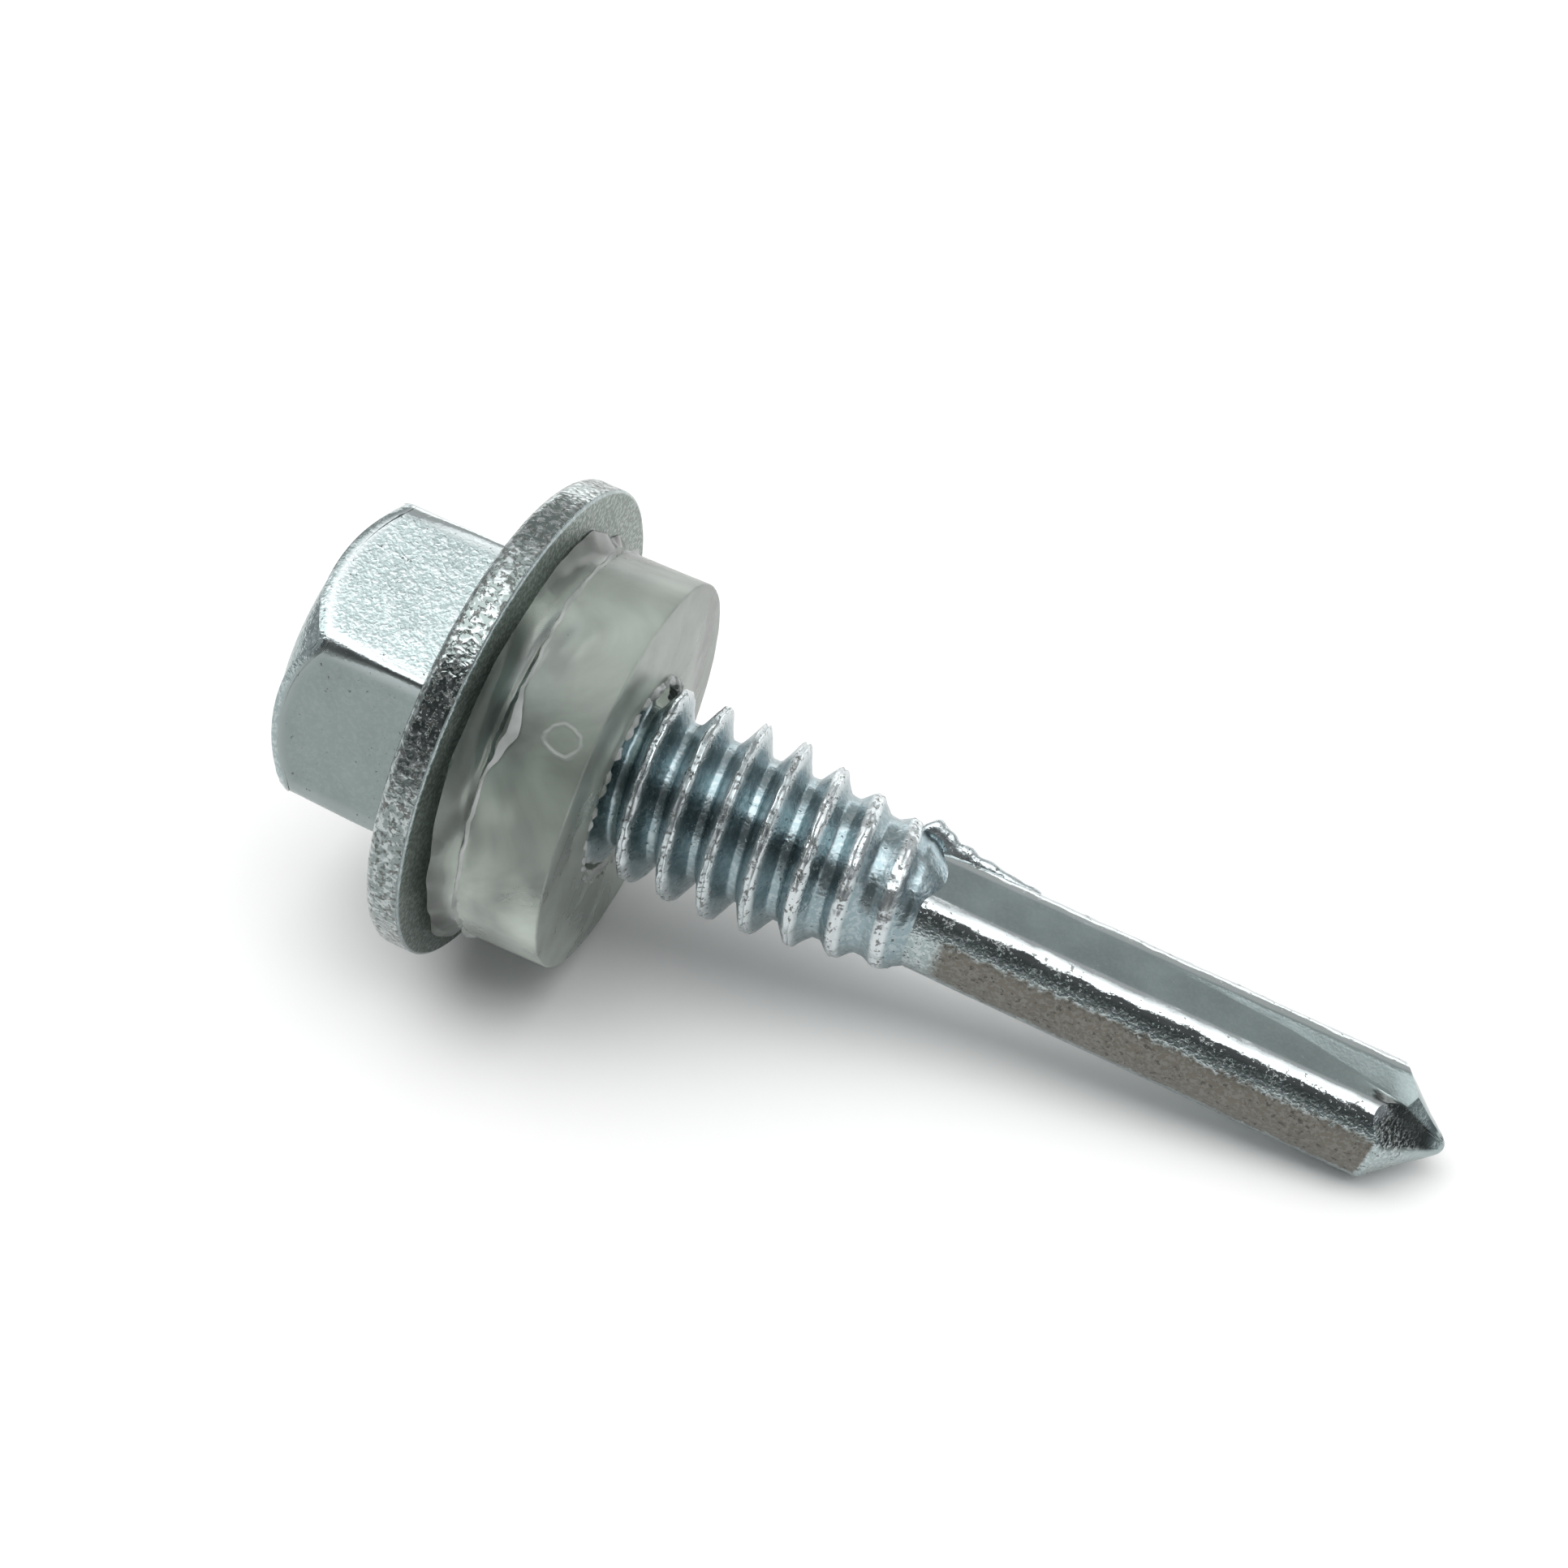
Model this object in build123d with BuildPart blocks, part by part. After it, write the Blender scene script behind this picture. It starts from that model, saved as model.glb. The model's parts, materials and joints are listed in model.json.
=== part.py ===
from build123d import *
from math import asin, atan2, cos, hypot, radians, sin, sqrt, tan
import os

# A hex flange head self drilling screw with its moulded sealing washer, lying on a level surface.
# It rests on the lowest point of the flange rim and on the lower flat of the drill.
# Millimetres, +Z up, head towards -X, tip towards +X, origin under the middle of its box.
# Stations are distances along the screw from the underside of the flange towards the tip.

# Head
across_flats = 8.0
head_height = 5.35
flat_edge_r = 0.25
crown_inset = 0.15
crown_drop = 0.9
dish_r = 2.7
dish_floor_r = 1.9
dish_depth = 0.3
hex_turn = 15.2

# Flange
flange_d = 13.3
flange_root = 1.3
rim_height = 0.95
rim_top_r = 0.3
rim_edge_r = 0.15

# Neck and threaded shank
major_d = 5.2
pitch = 1.136
thread_depth = 0.71
flank_angle = 25.0
crest_width = 0.16
neck_step = 0.16
neck_length = 1.25
neck_flare = 0.3
thread_start = 1.41
thread_end = 11.066
run_in_length = 1.136
run_out_length = 4.0
thread_root_bury = 0.12
crest_fade = 0.04
shoulder_start = 11.3
shoulder_inset = 0.1

# Drill
drill_d = 3.16
flat_to_flat = 2.58
land_round = 0.6
screw_length = 25.4
point_angle = 82.0
nose_r = 0.3
nose_flat_r = 0.08
flute_length = 8.1
flute_mouth = 1.24
flute_lift = 0.4
crease_start_inset = 0.06
bend_1_back = 4.5
bend_1_across = 0.45
bend_1_half = 1.10
bend_2_back = 2.0
bend_2_across = 0.19
bend_2_half = 0.75
web_half = 0.44
heel_crease = 20.0
heel_half_spread = 33.0

# Sealing washer
washer_d = 10.8
washer_base_d = 10.6
washer_height = 2.97
washer_base = 0.7
flash_lip = 0.07
flash_land = 0.06
grip_clearance = 0.03
thread_clearance = 0.06
lead_in = 0.4
grip_length = 1.05
bore_lead = 0.14

# Values worked out from the dimensions
flange_r = flange_d / 2
rim_centre = flange_r - rim_edge_r
flat_half = flat_to_flat / 2
drill_r = drill_d / 2
major_r = major_d / 2
core_r = major_r - thread_depth
neck_r = core_r + neck_step
corner_r = across_flats / sqrt(3)
crown_flat_r = across_flats / 2 - crown_inset
crown_centre = (corner_r**2 - crown_flat_r**2 + crown_drop**2) / (2 * crown_drop)
crown_ball_r = hypot(crown_flat_r, crown_centre)
crown_foot = crown_drop - head_height
point_half = radians(point_angle / 2)
nose_centre = screw_length - nose_r
nose_flat = nose_centre + sqrt(nose_r**2 - nose_flat_r**2)
sharp_tip = nose_centre + nose_r / sin(point_half)
cone_mouth = sharp_tip - flange_r / tan(point_half)
shoulder_foot = flat_half - shoulder_inset
fade_r = core_r - crest_fade
crest_rise = major_r - fade_r
envelope_apex = (thread_end - thread_start) / (run_in_length + run_out_length)
tooth_root_r = core_r - thread_root_bury
tooth_half_root = crest_width / 2 + (major_r - tooth_root_r) * tan(radians(flank_angle))
thread_turns = (thread_end - thread_start) / pitch
bore_full = thread_start + run_in_length - bore_lead
washer_r = washer_d / 2
washer_base_r = washer_base_d / 2
grip_r = neck_r + grip_clearance
thread_bore_r = major_r + thread_clearance
nose_turn = -nose_r

# How it lies: the rim and the end of the lower flat both touch the surface
flat_end = sharp_tip - hypot(flute_mouth / 2, flat_half) / tan(point_half)
rest_run = flat_end + rim_edge_r
rest_drop = rim_centre - flat_half
tilt = atan2(rest_drop, rest_run) + asin(rim_edge_r / hypot(rest_run, rest_drop))
screw_rise = rim_edge_r * (1 - sin(tilt)) + rim_centre * cos(tilt)
head_reach = head_height * cos(tilt) + crown_flat_r * sin(tilt)
tip_reach = nose_centre * cos(tilt) + nose_r
seat = Vector((head_reach - tip_reach) / 2, 0, screw_rise)

along = Vector(cos(tilt), 0, -sin(tilt))
across = Vector(0, 1, 0)
upward = Vector(sin(tilt), 0, cos(tilt))
screw_axis = Axis(seat, along)
station = Plane(origin=seat, x_dir=across, z_dir=along)
section = Plane(origin=seat, x_dir=upward, z_dir=across)


def turned(turn):
    """The direction square to the screw, at an angle from its level side."""
    return across * cos(radians(turn)) + upward * sin(radians(turn))


def heel_plane(turn):
    """The flat that relieves one side of the point behind its cutting lip."""
    radial = turned(180 - heel_crease - heel_half_spread + turn)
    rise = cos(radians(heel_half_spread)) * tan(point_half)
    normal = radial + along * rise
    return Plane(origin=seat + along * sharp_tip, z_dir=normal)


def flute(turn):
    """The V that opens in a flat of the drill and deepens towards the point."""
    mouth = flute_mouth / 2
    crease = (
        (screw_length - flute_length, mouth - crease_start_inset, flat_half),
        (screw_length - bend_1_back, bend_1_across, bend_1_half),
        (screw_length - bend_2_back, bend_2_across, bend_2_half),
        (sharp_tip, 0, web_half),
    )
    sections = []
    for distance, crease_x, crease_y in crease:
        place = Plane(origin=seat + along * distance, x_dir=turned(turn), z_dir=along)
        with BuildSketch(place) as opening:
            with BuildLine():
                Polyline(
                    (crease_x, crease_y),
                    (mouth, flat_half),
                    (mouth, flat_half + flute_lift),
                    (-mouth, flat_half + flute_lift),
                    (-mouth, flat_half),
                    close=True,
                )
            make_face()
        sections.append(opening.sketch.face())
    loft(sections, mode=Mode.SUBTRACT)


with BuildPart() as thread:
    # Rolled thread: one tooth swept along a helix, its crest held down at both ends by two cones,
    # so that it rises out of the neck, runs full, and fades before the drill
    with BuildLine():
        Helix(
            pitch=pitch,
            height=thread_turns * pitch,
            radius=major_r,
            center=seat + along * thread_start,
            direction=along,
        )
    with BuildSketch(section):
        with BuildLine():
            Polyline(
                (tooth_root_r, thread_start - tooth_half_root),
                (major_r, thread_start - crest_width / 2),
                (major_r, thread_start + crest_width / 2),
                (tooth_root_r, thread_start + tooth_half_root),
                close=True,
            )
        make_face()
    sweep(is_frenet=True)
    with BuildSketch(section):
        with BuildLine():
            Polyline(
                (0, thread_start - run_in_length),
                (fade_r, thread_start),
                (fade_r + envelope_apex * crest_rise, thread_start + envelope_apex * run_in_length),
                (fade_r, thread_end),
                (0, thread_end),
                close=True,
            )
        make_face()
    revolve(axis=screw_axis, mode=Mode.INTERSECT)

with BuildPart() as screw:
    # Hexagon with rounded edges, its end crowned by the forging die and dished
    with BuildSketch(station.offset(-head_height)) as hexagon:
        RegularPolygon(across_flats / 2, 6, major_radius=False, rotation=hex_turn)
        fillet(hexagon.vertices(), flat_edge_r)
    extrude(amount=head_height - rim_edge_r)
    with BuildSketch(section):
        with BuildLine():
            Line((0, -rim_edge_r), (0, -head_height))
            Line((0, -head_height), (crown_flat_r, -head_height))
            RadiusArc((crown_flat_r, -head_height), (corner_r, crown_foot), -crown_ball_r)
            Line((corner_r, crown_foot), (corner_r, -rim_edge_r))
            Line((corner_r, -rim_edge_r), (0, -rim_edge_r))
        make_face()
    revolve(axis=screw_axis, mode=Mode.INTERSECT)
    with BuildSketch(section):
        with BuildLine():
            Polyline(
                (0, dish_depth - head_height),
                (0, -head_height),
                (dish_r, -head_height),
                (dish_floor_r, dish_depth - head_height),
                close=True,
            )
        make_face()
    revolve(axis=screw_axis, mode=Mode.SUBTRACT)

    # Flange with a square rim, crisp underneath and rounded on top, then the neck, the threaded
    # core and the shoulder where the drill begins
    with BuildSketch(section) as flange:
        with BuildLine():
            Polyline(
                (0, 0),
                (0, -flange_root),
                (across_flats / 2, -flange_root),
                (flange_r, -rim_height),
                (flange_r, 0),
                close=True,
            )
        make_face()
        fillet(flange.vertices().group_by(Axis.X)[-1].sort_by(Axis.Y)[0], rim_top_r)
        fillet(flange.vertices().group_by(Axis.X)[-1].sort_by(Axis.Y)[-1], rim_edge_r)
    revolve(axis=screw_axis)
    with BuildSketch(section):
        with BuildLine():
            Polyline(
                (0, -rim_edge_r),
                (neck_r + neck_flare, -rim_edge_r),
                (neck_r + neck_flare, 0),
                (neck_r, neck_flare),
                (neck_r, neck_length),
                (core_r, neck_length + neck_r - core_r),
                (core_r, shoulder_start),
                (shoulder_foot, shoulder_start + core_r - shoulder_foot),
                (0, shoulder_start + core_r - shoulder_foot),
                close=True,
            )
        make_face()
    revolve(axis=screw_axis)

    # Drill body: two round lands and two flats, with a cone point and a rounded nose
    with BuildSketch(station.offset(shoulder_start)) as drill_section:
        Circle(drill_r)
        Rectangle(drill_d, flat_to_flat, mode=Mode.INTERSECT)
        fillet(drill_section.vertices(), land_round)
    extrude(amount=sharp_tip - shoulder_start)
    with BuildSketch(section):
        with BuildLine():
            Polyline(
                (nose_flat_r, nose_flat),
                (0, nose_flat),
                (0, -head_height),
                (flange_r, -head_height),
                (flange_r, cone_mouth),
                (nose_r * cos(point_half), nose_centre + nose_r * sin(point_half)),
            )
            RadiusArc(
                (nose_r * cos(point_half), nose_centre + nose_r * sin(point_half)),
                (nose_flat_r, nose_flat),
                nose_turn,
            )
        make_face()
    revolve(axis=screw_axis, mode=Mode.INTERSECT)
    for turn in (0, 180):
        flute(turn)
        split(bisect_by=heel_plane(turn), keep=Keep.BOTTOM)

    add(thread.part)

with BuildPart() as sealing_washer:
    # Moulded ring: it grips the neck, clears the thread, and keeps the mould's parting line
    with BuildSketch(section) as washer_section:
        with BuildLine():
            Polyline(
                (grip_r + lead_in, 0),
                (washer_base_r, 0),
                (washer_base_r, washer_base),
                (washer_r + flash_lip, washer_base),
                (washer_r + flash_lip, washer_base + flash_land),
                (washer_r, washer_base + flash_land),
                (washer_r, washer_height),
                (thread_bore_r, washer_height),
                (thread_bore_r, bore_full),
                (grip_r, grip_length),
                (grip_r, lead_in),
                close=True,
            )
        make_face()
    revolve(axis=screw_axis)

pieces = {"screw": screw, "sealing_washer": sealing_washer}
os.makedirs("parts", exist_ok=True)
for name, piece in pieces.items():
    piece.part.label = name
    export_step(piece.part, f"parts/{name}.step")
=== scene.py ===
import json
from math import asin, atan2, cos, degrees, exp, hypot, pi, radians, sin, sqrt, tan, tau

import bmesh
import bpy
from bpy.props import FloatProperty, FloatVectorProperty, IntProperty, PointerProperty
from mathutils import Matrix, Vector, noise


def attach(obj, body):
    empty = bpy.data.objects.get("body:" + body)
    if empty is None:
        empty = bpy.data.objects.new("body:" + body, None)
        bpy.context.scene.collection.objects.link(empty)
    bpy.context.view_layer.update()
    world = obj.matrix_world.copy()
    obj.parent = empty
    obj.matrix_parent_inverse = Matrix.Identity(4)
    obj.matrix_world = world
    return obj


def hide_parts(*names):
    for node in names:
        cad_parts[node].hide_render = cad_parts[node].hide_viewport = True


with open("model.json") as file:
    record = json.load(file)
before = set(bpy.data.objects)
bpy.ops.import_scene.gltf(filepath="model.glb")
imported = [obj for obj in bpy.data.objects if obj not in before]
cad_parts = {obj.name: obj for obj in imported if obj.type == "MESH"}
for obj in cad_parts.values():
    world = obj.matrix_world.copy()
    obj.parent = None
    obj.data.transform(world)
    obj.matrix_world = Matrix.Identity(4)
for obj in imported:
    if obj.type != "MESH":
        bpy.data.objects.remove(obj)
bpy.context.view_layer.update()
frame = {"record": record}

bl_info = {
    "name": "Self Drilling Screw",
    "version": (1, 0, 0),
    "blender": (4, 5, 0),
    "location": "View3D > Sidebar > Screw",
    "description": "Builds a zinc plated screw, its sealing washer and its stage",
    "category": "Object",
}

MM = 0.001
MERGE = 1e-4 * MM
WELD = 1e-3 * MM
INSET = 0.02 * MM  # how far the visual model's ends stay within the CAD

# The screw's own axes. Stations run along the screw, from the underside of the flange towards the tip;
# across is level, towards the far side, and upward is square to both.
MOUNTS = {mount["name"]: mount for mount in frame["record"]["mounts"]}
HEAD_HEIGHT = 5.35 * MM
ALONG = -Vector(MOUNTS["hex_drive"]["axis"])
SEAT = Vector(MOUNTS["hex_drive"]["pos_m"]) + ALONG * HEAD_HEIGHT
ACROSS = Vector((0.0, 1.0, 0.0))
UPWARD = ALONG.cross(ACROSS)
SCREW_FRAME = Matrix.Translation(SEAT) @ Matrix((ACROSS, UPWARD, ALONG)).transposed().to_4x4()

CORNERS = 6
HALF_SIDE = pi / CORNERS  # half the angle that one side of the hexagon takes up

# The washer's materials, in the order of its slots.
MILKY, CLEAR, FLASH = range(3)

DIRT = (0.09, 0.088, 0.08, 1.0)
SPECK = (0.05, 0.05, 0.05, 1.0)
GATE_MARK = (0.85, 0.9, 0.86, 1.0)

# Blender's vector noise takes its offsets from the clock unless it is given a seed.
NOISE_SEED = 1795464630

# Every kind of unevenness: its height, in millimetres or as a share, its grain in millimetres, its seed.
UNEVEN = {
    "rim": (0.012, 0.5, 3),
    "forging": (0.012, 1.1, 3),
    "thread": (0.022, 0.5, 17),
    "crest height": (0.045, 0.33, 7),
    "crest place": (0.035, 0.42, 11),
    "drill": (0.012, 0.9, 23),
    "drill edge": (0.0192, 0.3, 29),
    "burr": (0.35, 0.35, 53),
    "flash reach": (1.5, 0.9, 31),
    "flash tear": (0.9, 0.3, 37),
    "flash wave": (0.12, 1.1, 41),
    "flash ripple": (0.05, 0.3, 39),
    "spill": (0.5, 2.4, 33),
    "spill edge": (0.25, 0.8, 35),
    "free face": (0.012, 0.8, 43),
    "ring": (0.02, 2.2, 47),
}


def length_of(name, description, millimetres):
    """A length that the user can change, with its default in millimetres."""
    return FloatProperty(name=name, description=description, default=millimetres * MM,
                         unit="LENGTH", subtype="DISTANCE", precision=5)


def angle_of(name, description, angle):
    """An angle that the user can change, with its default in degrees."""
    return FloatProperty(name=name, description=description, default=radians(angle),
                         unit="ROTATION", subtype="ANGLE")


def colour_of(name, thing, colour):
    """A colour that the user can change, with its linear default."""
    return FloatVectorProperty(name=name, description="Colour of the " + thing, default=(*colour, 1.0),
                               size=4, subtype="COLOR", min=0.0, max=1.0)


def count_of(name, description, count):
    """A number of steps that the user can change."""
    return IntProperty(name=name, description=description, default=count, min=48, max=360)


class ScrewSizes(bpy.types.PropertyGroup):
    """The sizes of the screw."""

    across_flats: length_of("Across Flats", "Width of the hexagon between two flats", 8.0)
    edge_round: length_of("Edge Round", "Radius of the hexagon's upright edges", 0.25)
    soft_round: length_of("Soft Round", "Radius of the upright edges near the crown", 0.8)
    crown_land: length_of("Crown Land", "Radius where the crown begins to fall", 3.6)
    crown_drop: length_of("Crown Drop", "How far the crown has fallen at a corner", 1.16)
    crown_share: FloatProperty(name="Crown Share", description="Share of the drop at the fuller corners",
                               default=0.74, min=0.0, max=1.0, subtype="FACTOR")
    crown_bevel: length_of("Crown Bevel", "Width of the bevel round the crown", 0.16)
    dish_radius: length_of("Dish Radius", "Radius of the dish in the end of the head", 2.7)
    dish_depth: length_of("Dish Depth", "Depth of the dish", 0.3)
    hex_turn: angle_of("Hexagon Turn", "Turn of the hexagon about the screw", 15.2)
    flange_radius: length_of("Flange Radius", "Outer radius of the flange", 6.65)
    rim_height: length_of("Rim Height", "Thickness of the flange at its rim", 0.95)
    rim_top: length_of("Rim Top Round", "Radius of the rim's edge towards the head", 0.3)
    rim_edge: length_of("Rim Edge Round", "Radius of the rim's edge towards the washer", 0.12)
    flange_root: length_of("Flange Root", "Thickness of the flange at the hexagon", 1.3)
    hex_fillet: length_of("Hexagon Fillet", "Radius where the hexagon meets the flange", 0.22)
    major_radius: length_of("Major Radius", "Radius over the thread's crest", 2.6)
    core_radius: length_of("Core Radius", "Radius of the thread's root", 1.89)
    pitch: length_of("Pitch", "Distance from one crest to the next", 1.136)
    flank_half: angle_of("Flank Half Angle", "Half the angle between two flanks", 25.0)
    crest_half: length_of("Crest Half Width", "Half the width of the rolled crest", 0.1)
    seam_depth: length_of("Seam Depth", "Depth of the rolled seam in the crest", 0.05)
    neck_radius: length_of("Neck Radius", "Radius of the plain neck under the flange", 2.05)
    shoulder: length_of("Shoulder", "Station where the threaded shank ends", 11.2)
    drill_radius: length_of("Drill Radius", "Radius of the drill's two lands", 1.58)
    flat_half: length_of("Flat Half", "Half the distance between the drill's flats", 1.29)
    flute_half: length_of("Flute Half", "Half the width of a flute's mouth", 0.62)
    land_round: length_of("Land Round", "Radius between a flat and a land", 0.6)
    screw_length: length_of("Length", "Length from the flange's underside to the tip", 25.4)
    point_half: angle_of("Point Half Angle", "Half the angle of the drill's point", 41.0)
    nose_radius: length_of("Nose Radius", "Radius of the blunt nose", 0.3)


class WasherSizes(bpy.types.PropertyGroup):
    """The sizes of the sealing washer."""

    radius: length_of("Radius", "Outer radius of the moulded ring", 5.4)
    base_radius: length_of("Base Radius", "Outer radius below the mould's parting line", 5.28)
    height: length_of("Height", "Height from the flange to the free face", 2.97)
    parting: length_of("Parting Line", "Height of the mould's parting line", 0.74)
    grip_radius: length_of("Grip Radius", "Radius of the bore where it holds the neck", 2.08)
    bore_radius: length_of("Bore Radius", "Radius of the bore where the thread passes", 2.66)
    spill: length_of("Spill", "How far thin vinyl has spilt over the flange", 0.62)
    lean: angle_of("Lean", "Lean of the soft ring on the flange", 1.4)
    lean_axis: angle_of("Lean Axis", "Direction of the line that the ring leans about", 132.6)
    offset: length_of("Offset", "How far the soft ring sits off the screw's axis", 0.16)
    flap_angle: angle_of("Flap Angle", "Where the flash is torn up, round the ring", 134.0)
    gate_angle: angle_of("Gate Angle", "Where the gate's mark is, round the ring", 132.3)
    gate_station: length_of("Gate Station", "Where the gate's mark is, along the ring", 2.34)


class FinishSettings(bpy.types.PropertyGroup):
    """The colours of the finishes and the fineness of round forms."""

    zinc: colour_of("Zinc", "bright zinc plate", (0.32, 0.383, 0.385))
    # Partly real wear and partly a painted highlight: the bright colour on the hexagon's edges, the crown's
    # border and the drill's flat edges.
    bare_and_highlight: colour_of("Rubbed Zinc", "places rubbed bright", (0.62, 0.66, 0.67))
    blued: colour_of("Blued Zinc", "bluish plate in the thread", (0.27, 0.348, 0.372))
    # Painted shade: a dark colour on the upper facets of the drill's point, which stands in for a dark
    # reflection.
    shaded_facet: colour_of("Shaded Facet", "facet ground behind an edge", (0.065, 0.075, 0.072))
    # Painted shade: a darker copy of the zinc, for the hexagon's faces that do not look up.
    shaded_zinc: colour_of("Shaded Zinc", "plate on the smoother flats", (0.235, 0.282, 0.275))
    # Painted shade: a darker, greener copy of the zinc on the flange's underside, which faces the washer.
    film_and_shade: colour_of("Hazy Shaded Zinc", "hazed plate under the flange", (0.21, 0.25, 0.222))
    scraped: colour_of("Scraped Zinc", "worn plate on the rim", (0.215, 0.255, 0.248))
    # Partly warm tarnishing and partly a painted dark reflection, on the drill's lands.
    tarnish_and_reflection: colour_of("Tarnish And Reflection", "warm film on the drill", (0.145, 0.138, 0.120))
    milky: colour_of("Milky Vinyl", "washer's milky ring", (0.485, 0.545, 0.492))
    flash: colour_of("Flash", "whitened mould flash", (0.70, 0.79, 0.72))
    clear: colour_of("Clear Vinyl", "washer's clear base", (0.42, 0.47, 0.43))
    floor: colour_of("Floor", "floor", (0.985, 0.985, 0.98))
    thread_steps: count_of("Thread Steps", "Steps in one turn of the thread", 192)
    round_steps: count_of("Round Steps", "Steps round the head and round the washer", 240)


# ---- Mesh tools ----


def clamp(value, low, high):
    """The value, kept between low and high."""
    return min(high, max(low, value))


def smoothstep(low, high, value):
    """0 below low, 1 above high, and a smooth rise between them."""
    share = clamp((value - low) / (high - low), 0.0, 1.0)
    return share * share * (3.0 - 2.0 * share)


def mix(first, second, share):
    """The value that lies share of the way from first to second."""
    return first + (second - first) * share


def spread(first, last, count):
    """count values from first to last, both included."""
    return [mix(first, last, step / (count - 1)) for step in range(count)]


def polar(co):
    """Radius, angle and station of a point."""
    return hypot(co.x, co.y), atan2(co.y, co.x), co.z


def from_polar(radius, angle, station):
    """The point at that radius, angle and station."""
    return Vector((radius * cos(angle), radius * sin(angle), station))


def apart(first, second):
    """The smaller angle between two directions."""
    return abs((first - second + pi) % tau - pi)


def arc(centre, radius, start, end, count):
    """Points (radius, station) of an arc, its angles in degrees from the outward direction."""
    angles = [radians(a) for a in spread(start, end, count)]
    return [(centre[0] + radius * cos(a), centre[1] + radius * sin(a)) for a in angles]


def uneven(co, kind):
    """A smooth random value near zero, the same on each run, of a kind that UNEVEN lists."""
    height, grain, seed = UNEVEN[kind]
    return height * noise.noise(co / (grain * MM) + Vector((seed, seed * 0.37, -seed)))


def jolt(co, grain):
    """A smooth random vector near zero, the same on each run."""
    noise.seed_set(NOISE_SEED)
    return noise.noise_vector(co / grain)


def verts_in(geometry):
    """The vertices among a bmesh operator's results."""
    return [item for item in geometry if isinstance(item, bmesh.types.BMVert)]


def float_layers(bm, *names):
    """New values that the points carry for the materials."""
    return [bm.verts.layers.float.new(name) for name in names]


def turned(points, steps, climb=0.0):
    """A bmesh made by turning a line of points once about the axis, climbing as it goes."""
    bm = bmesh.new()
    verts = [bm.verts.new(point) for point in points]
    edges = [bm.edges.new(pair) for pair in zip(verts, verts[1:])]
    bmesh.ops.spin(bm, geom=verts + edges, axis=(0, 0, 1), dvec=(0, 0, climb / steps), angle=tau,
                   steps=steps, use_merge=not climb)
    return bm


def face_outward(bm):
    """Recalculates the normals of a closed form, and turns them all if they came out inward."""
    bmesh.ops.recalc_face_normals(bm, faces=bm.faces)
    if bm.calc_volume(signed=True) < 0:
        bmesh.ops.reverse_faces(bm, faces=bm.faces)


def spun(profile, steps):
    """A closed form turned from a profile of (radius, station) points."""
    bm = turned([(radius, 0.0, station) for radius, station in profile], steps)
    bmesh.ops.remove_doubles(bm, verts=bm.verts, dist=MERGE)
    face_outward(bm)
    return bm


def add_object(name, bm, materials):
    """Makes an object at the origin from a finished bmesh."""
    mesh = bpy.data.meshes.new(name)
    bm.to_mesh(mesh)
    bm.free()
    for material in materials:
        mesh.materials.append(material)
    made = bpy.data.objects.new(name, mesh)
    bpy.context.scene.collection.objects.link(made)
    return made


def make_piece(name, bm, materials, sharp, node="screw"):
    """Places a bmesh in the screw's frame, in a CAD node's stead. Edges over sharp degrees stay crisp."""
    bmesh.ops.transform(bm, matrix=SCREW_FRAME, verts=bm.verts)
    piece = add_object(name, bm, materials)
    piece.data.shade_smooth()
    piece.data.set_sharp_from_angle(angle=radians(sharp))
    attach(piece, "root")
    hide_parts(node)


# ---- Node tools and materials ----


def feed(tree, node, inputs):
    """Sets a node's inputs, each from a value or from the socket that feeds it."""
    for place, value in inputs.items():
        if isinstance(value, bpy.types.NodeSocket):
            tree.links.new(value, node.inputs[place])
        else:
            node.inputs[place].default_value = value


def add_node(tree, kind, inputs=None, **settings):
    """A new shader node with its settings and its inputs."""
    node = tree.nodes.new("ShaderNode" + kind)
    for name, value in settings.items():
        setattr(node, name, value)
    feed(tree, node, inputs or {})
    return node


def ramp(tree, factor, stops):
    """A colour ramp through stops of (place, grey value or colour)."""
    node = add_node(tree, "ValToRGB", {"Fac": factor})
    elements = node.color_ramp.elements
    elements[-1].position = stops[-1][0]
    elements[0].position = stops[0][0]
    for place, _ in stops[1:-1]:
        elements.new(place)
    for element, (_, value) in zip(elements, stops):
        element.color = value if isinstance(value, tuple) else (value, value, value, 1.0)
    return node.outputs["Color"]


def maths(tree, operation, first, second=0.0):
    """The result of one sum."""
    node = add_node(tree, "Math", {0: first, 1: second}, operation=operation)
    return node.outputs["Value"]


def scaled(tree, value, factor, start=0.0):
    """The start plus a value times a factor."""
    inputs = {0: value, 1: factor, 2: start}
    return add_node(tree, "Math", inputs, operation="MULTIPLY_ADD").outputs["Value"]


def rising(tree, value, low, high):
    """0 below low, 1 above high, and an even rise between them."""
    inputs = {"Value": value, "From Min": low, "From Max": high}
    return add_node(tree, "MapRange", inputs).outputs["Result"]


def clouds(tree, vector, scale, detail, **inputs):
    """The value of a noise texture."""
    inputs.update(Vector=vector, Scale=scale, Detail=detail)
    return add_node(tree, "TexNoise", inputs).outputs["Fac"]


def blend(tree, factor, first, second, kind="MIX"):
    """The mix of two colours, each a colour or a socket."""
    inputs = {0: factor, 6: first, 7: second}
    return add_node(tree, "Mix", inputs, data_type="RGBA", blend_type=kind).outputs[2]


def attribute(tree, name):
    """A value that the mesh carries at its points."""
    return add_node(tree, "Attribute", attribute_name=name).outputs["Fac"]


def screw_coordinates(tree):
    """Object coordinates turned and moved into the screw's own axes."""
    place = add_node(tree, "TexCoord").outputs["Object"]
    inputs = {"Vector": place, "Location": SEAT, "Rotation": SCREW_FRAME.to_euler()}
    return add_node(tree, "Mapping", inputs, vector_type="TEXTURE").outputs["Vector"]


def new_material(name):
    """A new material, with its node tree and its shader."""
    material = bpy.data.materials.new(name)
    material.use_nodes = True
    tree = material.node_tree
    return material, tree, tree.nodes["Principled BSDF"]


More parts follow.
